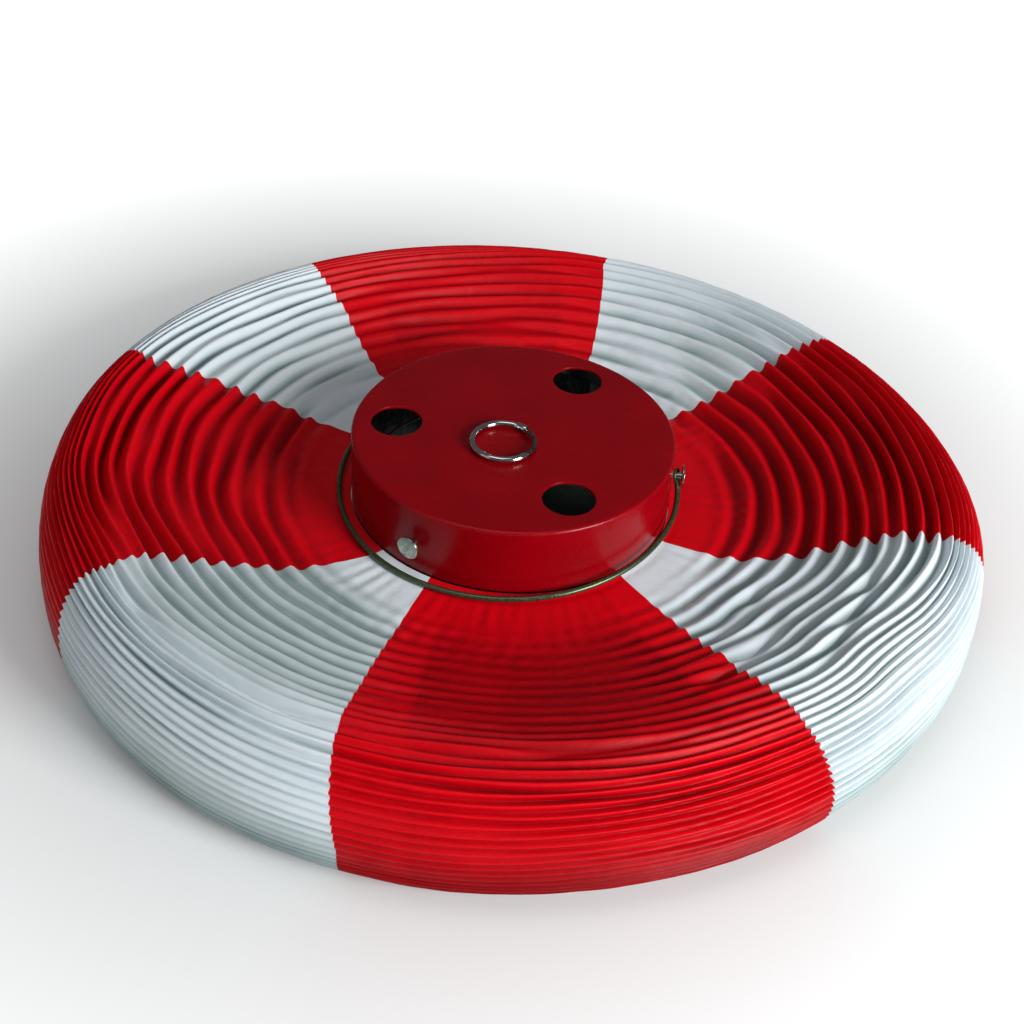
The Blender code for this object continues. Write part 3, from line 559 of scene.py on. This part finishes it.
def makeGores():
    # rows run along the pleats, nine to a pleat, and columns from seam to seam
    total = pleats["inner"] + pleats["wall"] + pleats["under"]
    numbers = np.arange(total * pleats["rowsEach"] + 1) / pleats["rowsEach"]
    edges = []
    for i in range(len(seams)):
        edge = seamAt(i, np.full(len(numbers), pleats["settleDeg"]))
        for _ in range(pleats["settleTimes"]):   # the seam's angle and the pleat's place settle on each other
            edge = seamAt(i, pleatPlace(numbers, edge)[0])
        edges.append(edge)
    widths, spread = [], []
    for i in range(len(seams)):
        left, right = edges[i], edges[(i + 1) % len(seams)]
        right = np.where(right < left, right + 360, right)
        widths.append(float(np.mean(right - left)))
        columns = 1 + max(pleats["fewestColumns"], int(round(widths[-1] / pleats["columnDeg"])))
        share = np.linspace(0, 1, columns)[None, :]
        spread.append((numbers[:, None] + 0 * share, left[:, None] * (1 - share) + right[:, None] * share))
    # one set of waves for the whole ball, so that folds run on across the seams
    pleat = np.concatenate([n for n, _ in spread], 1)
    joinedRound = np.concatenate([a for _, a in spread], 1)
    waveSet = {kind: waviness(pleat, joinedRound, *how) for kind, how in waveKinds.items()}
    r, z, shade = clothSurface(pleat, joinedRound, waveSet)
    a = np.radians(joinedRound)
    points = np.stack([r * np.cos(a), r * np.sin(a), z], -1)
    first = 0
    for i, name in enumerate(goreNames):
        down = pleatPlace(*spread[i])[0]
        last = first + down.shape[1]
        own, ownShade = points[:, first:last], shade[:, first:last]
        ownZ = z[:, first:last]
        first = last
        material = whiteCloth if "white" in name else redCloth
        piece = makePiece(f"{name}_gore", own.reshape(-1, 3), gridQuads(*own.shape[:2])[:, ::-1], material)
        rows, columns = own.shape[:2]
        share = np.linspace(0, 1, columns)[None, :] + 0 * down
        cutAcross = (share - 0.5) * ball["radius"] * np.sin(np.radians(down)) * np.radians(widths[i])
        cutDown = ball["radius"] * np.radians(down)
        layer = piece.data.uv_layers.new(name="cut")
        corners = np.empty(len(piece.data.loops), dtype=np.int32)
        piece.data.loops.foreach_get("vertex_index", corners)
        uv = np.stack([cutAcross.ravel(), cutDown.ravel()], -1)[corners]
        layer.data.foreach_set("uv", uv.ravel())
        # a painted highlight: a lighter strip beside the seams of two gores, about 38 mm wide at the shoulder
        fromSeam = np.minimum(share, 1 - share) * widths[i]
        seamHighlight = 1 - smooth(*tones["stripEdge"], fromSeam)
        seamHighlight = seamHighlight * (1 - tones["stripLoss"] * smooth(*tones["stripFade"], down))
        seamHighlight = seamHighlight if name in tones["stripGores"] else 0 * seamHighlight
        for label, values in (("paintedShade", ownShade), ("paintedSeamHighlight", seamHighlight)):
            attribute = piece.data.attributes.new(label, "FLOAT", "POINT")
            attribute.data.foreach_set("value", values.ravel().astype(np.float32))
        rideBetween(piece, openShare(down, ownZ).ravel())
        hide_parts(f"gore_{name}")
    print("gores made")


hoop = {
    "count": 21, "wire": 0.0015, "under": 0.0118, "inside": -0.30, "steps": 120, "sides": 8,
    "lowest": 0.004, "even": 0.35, "settle": 0.001, "settleFrom": (0.03, 0.06),
}


def makeHoops():
    # a wire ring under the cloth at each step down the meridian: the folded envelope moved in along its normal
    h, b = hoop, ball
    first = np.degrees(np.arcsin(cap["radius"] / b["radius"]))
    roundDeg = np.linspace(-180, 180, h["steps"], endpoint=False)
    for i in range(1, h["count"] + 1):
        down = first + (180 - 2 * first) * i / (h["count"] + 1) + 0 * roundDeg
        r, own, dr, dz, run = meridian(down, roundDeg)
        # under the ball the ring also keeps inside its circle, for when the ball is open
        inward = np.where(dr < 0, np.minimum(dz / run, h["inside"]), dz / run)
        r = r + h["under"] * inward
        # never more than a third of the way towards the cloth on the other side
        room = np.abs(own - foldedHeight(180 - down, roundDeg)) / 3
        sink = np.minimum(h["under"] * np.abs(dr) / run, room)
        z = np.maximum(own - np.sign(dr) * sink, h["lowest"])
        z = z.mean() * h["even"] + z * (1 - h["even"]) - h["settle"] * smooth(*h["settleFrom"], z)
        t = np.linspace(0, 2 * np.pi, h["sides"], endpoint=False)
        rr = r[:, None] + h["wire"] * np.cos(t)
        a = np.radians(roundDeg)[:, None]
        grid = np.stack([rr * np.cos(a), rr * np.sin(a), z[:, None] + h["wire"] * np.sin(t)], -1)
        faces = gridQuads(*grid.shape[:2], True, True)
        piece = makePiece(f"hoop_wire_{i:02d}", grid.reshape(-1, 3), faces, hoopSteel)
        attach(piece, f"hoop_{i:02d}")
        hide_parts(f"hoop_{i:02d}")
    print("hoops made")


cap = {
    "radius": 0.104, "height": 0.0455, "sheet": 0.0015, "edge": 0.0022, "rimRound": 0.0006,
    "holeRadius": 0.0164, "holePitch": 0.0758, "firstHole": 58.1, "lip": 0.0004,
    "inset": 0.0002, "innerEdge": 0.0007, "innerStraight": 0.002, "upperRim": 0.0475,
    "arcSteps": 56, "lineSteps": 16, "plateRows": 7, "rowEase": 1.3, "lipSteps": 5, "holeSteps": 3,
    "cornerSteps": 9, "wallSteps": 8, "rimSteps": 7, "sharpDeg": 32, "primerReach": 1e-5,
}


def plateOutline(reach):
    # a third of the plate round one hole: from the centre out along one edge, round the arc, and back
    c = cap
    t = np.linspace(0, 1, c["lineSteps"], endpoint=False)
    edgeOut = around(-third / 2, reach) * t[:, None]
    arc = around(np.linspace(-third / 2, third / 2, c["arcSteps"], endpoint=False), reach)
    edgeBack = around(third / 2, reach) * (1 - t[:, None])
    return np.concatenate([edgeOut, arc, edgeBack])


def holeRows(reach, rows):
    # rings round the hole for (radius, height) rows: each point lies towards its outline point from the centre
    outline = plateOutline(reach)
    centre = np.array([cap["holePitch"], 0, 0])
    ray = outline - centre
    ray = ray / np.linalg.norm(ray, axis=1)[:, None]
    return np.array([centre + ray * radius + np.array([0, 0, height]) for radius, height in rows]), outline


def plateGrid(reach, height, lipRows):
    # rows blended from the hole's rim to the outline: (1 - v) rim + v outline
    rows, outline = holeRows(reach, lipRows)
    blend = np.linspace(0, 1, cap["plateRows"] + 1)[1:, None, None] ** cap["rowEase"]
    return np.concatenate([rows, rows[-1] * (1 - blend) + outline * blend]) + np.array([0, 0, height])


def makeCap(name, place, body, node):
    # two plates joined by the holes' walls, and the side wall from the plate's edge to the rim and back inside
    c = cap
    lip, inside, rimRound = c["lip"], c["height"] - c["sheet"], c["rimRound"]
    q = np.linspace(0, np.pi / 2, c["lipSteps"])
    lipRows = [(c["holeRadius"] + lip * (1 - np.cos(a)), -lip * (1 - np.sin(a))) for a in q]
    outerReach = c["radius"] - c["edge"]
    innerReach = outerReach - c["inset"]
    top = plateGrid(outerReach, c["height"], lipRows)
    low = plateGrid(innerReach, inside, [(c["holeRadius"], 0.0)])
    wall = [(c["holeRadius"], h) for h in np.linspace(c["height"] - lip, inside, c["holeSteps"])]
    holeWall = holeRows(outerReach, wall)[0]
    inner, half = c["radius"] - c["sheet"], c["sheet"] / 2
    corner, rim = np.linspace(0, np.pi / 2, c["cornerSteps"]), np.linspace(0, np.pi, c["rimSteps"])
    profile = [(outerReach + c["edge"] * np.sin(a), c["height"] - c["edge"] * (1 - np.cos(a))) for a in corner]
    profile += [(c["radius"], h) for h in np.linspace(c["height"] - c["edge"], rimRound, c["wallSteps"])[1:]]
    profile += [(inner + half + half * np.cos(a), rimRound * (1 - np.sin(a))) for a in rim[1:]]
    profile += [(inner, inside - c["innerStraight"]), (inner, inside - c["innerEdge"]),
                (inner - c["innerEdge"], inside), (innerReach, inside)]
    arc = np.linspace(-third / 2, 360 - third / 2, 3 * c["arcSteps"], endpoint=False)
    side = np.stack([around(arc, radius, height) for radius, height in profile])
    grids = [(side, False, True)]
    for i in range(3):
        grids += [(turned(g, third * i), False, True) for g in (top, low, holeWall)]
    points, faces = joinGrids(grids)
    points = turned(points, c["firstHole"])
    turn = np.array(place)
    points = points @ turn[:3, :3].T + turn[:3, 3]
    piece = makePiece(name, points, faces, redPaint, sharp=c["sharpDeg"], weld=weldReach)
    piece.data.materials.append(primer)
    middles = np.empty(len(piece.data.polygons) * 3)
    piece.data.polygons.foreach_get("center", middles)
    middles = (middles.reshape(-1, 3) - turn[:3, 3]) @ turn[:3, :3]
    # primer on every face inside the wall and under the plate
    within = np.hypot(middles[:, 0], middles[:, 1]) < inner + c["primerReach"]
    bare = within & (middles[:, 2] < inside + c["primerReach"])
    piece.data.polygons.foreach_set("material_index", bare.astype(np.int32))
    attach(piece, body)
    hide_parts(node)


stud = {
    "drop": 0.0242, "groove": 0.0062, "head": 0.0075, "headThick": 0.0018, "neck": 0.0026, "shank": 0.0020,
    "inward": 0.0082, "dome": 0.0003, "round": 0.0004, "chamfer": 0.0003, "seat": 0.0005,
    "domeSteps": 8, "edgeSteps": 6, "steps": 48, "sharpDeg": 40,
}
studHeight = cap["upperRim"] + cap["height"] - stud["drop"]
eyePitch = cap["radius"] + stud["groove"] / 2


def makeStuds():
    # a turned profile: domed head with a rounded edge, neck, and shank through the cap's wall
    s = stud
    back, front = s["groove"], s["groove"] + s["headThick"]
    head, neck, chamfer = s["head"], s["neck"], s["chamfer"]
    t = np.linspace(0, 1, s["domeSteps"])
    profile = [(a * (head - s["round"]), front - s["dome"] * a * a) for a in t]
    q = np.linspace(0, np.pi / 2, s["edgeSteps"])[1:]
    profile += [(head - s["round"] * (1 - np.sin(a)), front - s["dome"] - s["round"] * (1 - np.cos(a)))
                for a in q]
    profile += [(head, back + chamfer), (head - chamfer, back), (neck + chamfer, back), (neck, back - chamfer),
                (neck, s["seat"]), (neck, chamfer), (s["shank"], chamfer), (s["shank"], -s["inward"]),
                (0.0, -s["inward"])]
    for i in range(3):
        degrees = cap["firstHole"] - third / 2 + third * i
        points = spun(profile, s["steps"]).reshape(-1, 3)
        points = placed(points, around(degrees, cap["radius"], studHeight), around(degrees))
        faces = gridQuads(len(profile), s["steps"], False, True)
        piece = makePiece(f"stud_{i + 1}_turned", points, faces, nickel, sharp=s["sharpDeg"], weld=weldReach)
        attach(piece, "top_end")
        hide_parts(f"stud_{i + 1}")
    print("studs made")


bail = {
    "wire": 0.0036, "clear": 0.0006, "endDrop": 0.0080, "endLength": 0.0090, "offset": 0.0026,
    "floorGap": 0.0005,
    "bore": 0.0035, "eye": 0.0056, "eyeThick": 0.0015, "eyeRound": 0.0004, "leanDeg": 20.0, "swingDeg": 87.0,
    "points": 181, "even": 0.6, "sides": 20, "eyeSteps": 40, "sharpDeg": 50,
}


def bailPath():
    # the wire's centre line: a drop from each eye, then an arc in a slightly tilted plane
    b = bail
    chord = eyePitch / 2
    low = ball["dish"] + b["floorGap"] + b["wire"] / 2
    swing = cap["radius"] + stud["groove"] + stud["headThick"] + b["wire"] / 2 + b["clear"] + chord
    apex = np.sqrt(swing ** 2 - (studHeight - low) ** 2) - chord
    span = third - np.degrees((b["bore"] - b["wire"] / 4) / eyePitch)
    share = np.linspace(-1, 1, b["points"])
    angle = span * (b["even"] * share + (1 - b["even"]) * np.sin(share * np.pi / 2))
    a = np.radians(angle)
    settled = 1 - np.exp(-np.radians(third - np.abs(angle)) * eyePitch / b["endLength"])
    circle = apex - b["offset"]
    roundRadius = b["offset"] * np.cos(a) + np.sqrt(circle ** 2 - (b["offset"] * np.sin(a)) ** 2)
    radius = eyePitch + (roundRadius - eyePitch) * settled
    slope = (studHeight - b["endDrop"] - low) / (apex + chord)
    height = studHeight - b["endDrop"] * settled - slope * (radius * np.cos(a) + chord)
    where = around(angle + cap["firstHole"] + 180)
    return where * radius[:, None] + np.array([0, 0, 1]) * height[:, None]


def makeBail():
    # the bent wire, and a flat eye round each stud's neck
    b = bail
    grids = [(wireGrid(bailPath(), b["wire"] / 2, b["sides"]), False, True)]
    middle, lean = np.radians(b["swingDeg"] / 2), np.radians(b["leanDeg"])
    apex, chord = around(cap["firstHole"] + 180), around(cap["firstHole"] + 90)
    across = apex * -np.cos(middle) + np.array([0, 0, np.sin(middle)])
    half, soft, steps = b["eyeThick"] / 2, b["eyeRound"], b["eyeSteps"]
    ring = [(b["bore"], -half + soft), (b["bore"], half - soft), (b["bore"] + soft, half),
            (b["eye"] - soft, half), (b["eye"], half - soft), (b["eye"], -half + soft),
            (b["eye"] - soft, -half), (b["bore"] + soft, -half)]
    for side in (-1, 1):
        axis = chord * side * np.cos(lean) + across * np.sin(lean)
        centre = around(cap["firstHole"] + third / 2 * side, eyePitch, studHeight)
        eye = placed(spun(ring, steps).reshape(-1, 3), centre, axis)
        grids.append((eye.reshape(len(ring), steps, 3), True, True))
    points, faces = joinGrids(grids)
    piece = makePiece("bail_wire", points, faces, bailSteel, sharp=b["sharpDeg"], weld=weldReach)
    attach(piece, "bail")
    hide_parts("bail")
    print("bail made")


snap = {
    "centre": (-0.0063, -0.0161), "radius": 0.0197, "wire": 0.0040, "touch": 0.0003,
    "block": 0.0025, "blockLength": 0.0072, "blockRound": 0.0004, "pinDeg": 51.0,
    "fork": 0.0018, "forkDepth": 0.0021,
    "latchDeg": -41.5, "latchGap": 0.0004, "endDeg": 1.5, "collarDeg": 7.0,   # degrees back from the latch
    # (radius, along) down the collar's side
    "collar": ((0, -0.0016), (0.0019, -0.0016), (0.0023, -0.0012),
               (0.0023, 0.0012), (0.0019, 0.0016), (0, 0.0016)),
    "gate": 0.0030, "gateEndDeg": 2.2,
    "tongue": 0.0013, "tongueRadius": 0.0017, "tongueRound": 0.0001, "taper": 0.86,
    "arcPoints": 140, "arcSides": 24, "collarSteps": 32, "blockSteps": 32, "cheekSteps": 22,
    "gatePoints": 60, "gateSides": 20, "noseSteps": 16, "sharpDeg": 40,
    "blockTaper": 0.84, "cheekTaper": 0.85, "tongueTaper": 0.96,   # size left at each rounded end
}


def swept(section, centre, along, ends):
    # a closed section set at each (place, size) along a line, shrunk about its own middle
    core = section.mean(0)
    return np.array([core * (1 - size) + section * size + centre + along * at for at, size in ends])


def makeSnapRing():
    s = snap
    middle = np.array([*s["centre"], cap["upperRim"] + cap["height"] + s["touch"] + s["block"]])
    lengths = np.array([s["forkDepth"], s["blockLength"], s["latchGap"] / 2])
    forkDeg, blockDeg, latchDeg = np.degrees(lengths / s["radius"])
    # the fixed arc, from the block round to the latch
    arcEnd = 360 + s["latchDeg"] - latchDeg - s["endDeg"]
    arcDeg = np.linspace(s["pinDeg"] + blockDeg / 2, arcEnd, s["arcPoints"])
    grids = [(wireGrid(around(arcDeg, s["radius"]) + middle, s["wire"] / 2, s["arcSides"]), False, True)]
    # a turned collar at the latch's end, a touch wider than the wire
    collarAt = s["latchDeg"] - latchDeg - s["collarDeg"]
    collar = spun(s["collar"], s["collarSteps"])
    turnedCollar = placed(collar.reshape(-1, 3), around(collarAt, s["radius"]) + middle, around(collarAt + 90))
    grids.append((turnedCollar.reshape(collar.shape), False, True))
    # the hinge block: solid behind the pin, two cheeks beside it
    blockMid = s["pinDeg"] - forkDeg + blockDeg / 2
    along, outward, up = around(blockMid + 90), around(blockMid), np.array([0, 0, 1.0])
    centre = around(blockMid, s["radius"]) + middle
    b = np.linspace(0, 2 * np.pi, s["blockSteps"], endpoint=False)
    full = s["block"] * (np.cos(b)[:, None] * outward + np.sin(b)[:, None] * up)
    half, soft = s["blockLength"] / 2, s["blockRound"]
    solidFrom = -half + 2 * s["forkDepth"]
    ends = ((solidFrom, 0.0), (solidFrom, 1.0), (half - soft, 1.0), (half, s["blockTaper"]), (half, 0.0))
    grids.append((swept(full, centre, along, ends), False, True))
    lowest = np.arcsin(s["fork"] / 2 / s["block"])
    ends = ((solidFrom, 0.0), (solidFrom, 1.0), (-half + soft, 1.0), (-half, s["cheekTaper"]), (-half, 0.0))
    for side in (1, -1):
        c = np.linspace(lowest, np.pi - lowest, s["cheekSteps"])
        cheek = s["block"] * (np.cos(c)[:, None] * outward + side * np.sin(c)[:, None] * up)
        grids.append((swept(cheek, centre, along, ends), False, True))
    points, faces = joinGrids(grids)
    piece = makePiece("snap_ring_arc", points, faces, chrome, sharp=s["sharpDeg"], weld=weldReach)
    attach(piece, "snap_ring")
    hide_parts("snap_ring")
    # the sprung gate: thinner wire from the tongue to the latch
    clearDeg = np.degrees((s["forkDepth"] + s["gate"] / 2) / s["radius"])
    gateDeg = np.linspace(s["pinDeg"] - clearDeg, s["latchDeg"] + latchDeg + s["gateEndDeg"], s["gatePoints"])
    wire = around(gateDeg, s["radius"]) + middle
    grids = [(wireGrid(wire, s["gate"] / 2, s["gateSides"]), False, True)]
    # a flat tongue: a round nose about the pin, its sides straight to the wire
    pin = around(s["pinDeg"], s["radius"]) + middle
    reach = np.linalg.norm(wire[0] - pin)
    x = (wire[0] - pin) / reach
    y = np.array([-x[1], x[0], 0])
    wide, thick, soft = s["tongueRadius"], s["tongue"] / 2, s["tongueRound"]
    nose = [(wide * np.cos(a), wide * np.sin(a)) for a in np.linspace(np.pi / 2, 3 * np.pi / 2, s["noseSteps"])]
    flat = np.array(nose + [(reach, -wide * s["taper"]), (reach, wide * s["taper"])])
    ends = ((-thick, 0.0), (-thick, s["tongueTaper"]), (-thick + soft, 1.0),
            (thick - soft, 1.0), (thick, s["tongueTaper"]), (thick, 0.0))
    grids.append((swept(flat[:, :1] * x + flat[:, 1:] * y, pin, up, ends), False, True))
    points, faces = joinGrids(grids)
    piece = makePiece("ring_gate_wire", points, faces, gateSteel, sharp=s["sharpDeg"], weld=weldReach)
    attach(piece, "ring_gate")
    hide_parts("ring_gate")
    print("snap ring made")


makeCap("upper_cap_shell", Matrix.Translation((0, 0, cap["upperRim"])), "top_end", "upper_cap")
# the lower cap is the upper one turned over, its holes halfway between the upper ones
lowerTurn = Matrix.Translation((0, 0, cap["height"])) @ Matrix.Rotation(np.pi, 4, "X")
lowerTurn = lowerTurn @ Matrix.Rotation(np.radians(third / 2), 4, "Z")
makeCap("lower_cap_shell", lowerTurn, "bottom_end", "lower_cap")
print("caps made")
makeGores()
makeHoops()
makeStuds()
makeBail()
makeSnapRing()


studio = {
    "floorSize": 6.0, "floorDrop": 0.0005, "floorColour": "e9eaea", "floorRough": 0.9, "floorSpecular": 0.1,
    "glowFrom": 0.30, "glowTo": 0.70, "nearGlow": 0.11, "farGlow": 0.85,
    "airColour": (0.9, 0.95, 1.0, 1.0), "air": 0.10, "nearest": 0.01,
    # name, place, target, size, power
    "lights": (("key", (1.45, -1.20, 0.80), (0, 0, 0.03), 0.8, 46),
               ("top", (-0.2, -0.3, 1.9), (0, 0, 0), 1.1, 6),
               ("fill", (-1.7, -1.2, 0.9), (0, 0, 0.03), 1.2, 2)),
}
# matt card, so that no light pools on it; it glows by its own emission, faintly near the ball and brightly
# further out, painted light that whitens the backdrop
floorMaterial, floorTree, floorShader = newMaterial("paleStudioPaper", **{
    "Base Color": linear(studio["floorColour"]), "Roughness": studio["floorRough"],
    "Specular IOR Level": studio["floorSpecular"], "Emission Color": (1.0, 1.0, 1.0, 1.0),
})
place = addNode(floorTree, "ShaderNodeTexCoord").outputs["Object"]
away = addNode(floorTree, "ShaderNodeVectorMath", {0: place}, operation="LENGTH").outputs["Value"]
glow = addNode(floorTree, "ShaderNodeMapRange", {
    "Value": away, "From Min": studio["glowFrom"], "From Max": studio["glowTo"],
    "To Min": studio["nearGlow"], "To Max": studio["farGlow"]}).outputs[0]
floorTree.links.new(glow, floorShader.inputs["Emission Strength"])
half = studio["floorSize"] / 2
corners = np.array([(-half, -half, 0), (half, -half, 0), (half, half, 0), (-half, half, 0)], float)
corners = corners - np.array([0, 0, studio["floorDrop"]])
floor = makePiece("studio_floor", corners, [(0, 1, 2, 3)], floorMaterial)


def softLight(name, at, target, size, power):
    # a square soft box at a point, facing a target
    light = bpy.data.lights.new(name, "AREA")
    light.shape = "SQUARE"
    light.size = size
    light.energy = power
    lamp = bpy.data.objects.new(name, light)
    away = np.array(at, float) - np.array(target, float)
    away /= np.linalg.norm(away)
    side = np.cross([0.0, 0.0, 1.0], away) if abs(away[2]) < 0.99 else np.array([1.0, 0, 0])
    side /= np.linalg.norm(side)
    turn = np.stack([side, np.cross(away, side), away], 1).tolist()
    lamp.matrix_world = Matrix.Translation(at) @ Matrix([[*row, 0] for row in turn] + [[0, 0, 0, 1]])
    bpy.context.scene.collection.objects.link(lamp)


for row in studio["lights"]:
    softLight(*row)
world = bpy.data.worlds.new("studioAir")
world.use_nodes = True
air = world.node_tree.nodes["Background"].inputs
air["Color"].default_value = studio["airColour"]
air["Strength"].default_value = studio["air"]
bpy.context.scene.world = world

view = {
    "at": (0.00209, -0.74425, 0.61353), "lens": 49.84, "sensor": 36.0,
    "across": (0.99770399, 0.04191721, 0.05319488), "up": (-0.06772553, 0.61750666, 0.78364455),
    "back": (0.0, -0.78544795, 0.61892772),
}
camera = bpy.data.cameras.new("camera")
camera.lens = view["lens"]
camera.sensor_width = view["sensor"]
camera.clip_start = studio["nearest"]
lookout = bpy.data.objects.new("camera", camera)
axes = np.stack([view["across"], view["up"], view["back"]], 1)
lookout.matrix_world = Matrix([[*axes[i].tolist(), view["at"][i]] for i in range(3)] + [[0, 0, 0, 1]])
bpy.context.scene.collection.objects.link(lookout)
bpy.context.scene.camera = lookout
bpy.context.scene.view_settings.view_transform = "Standard"   # keeps the reds as deep as their dye
print("studio made")
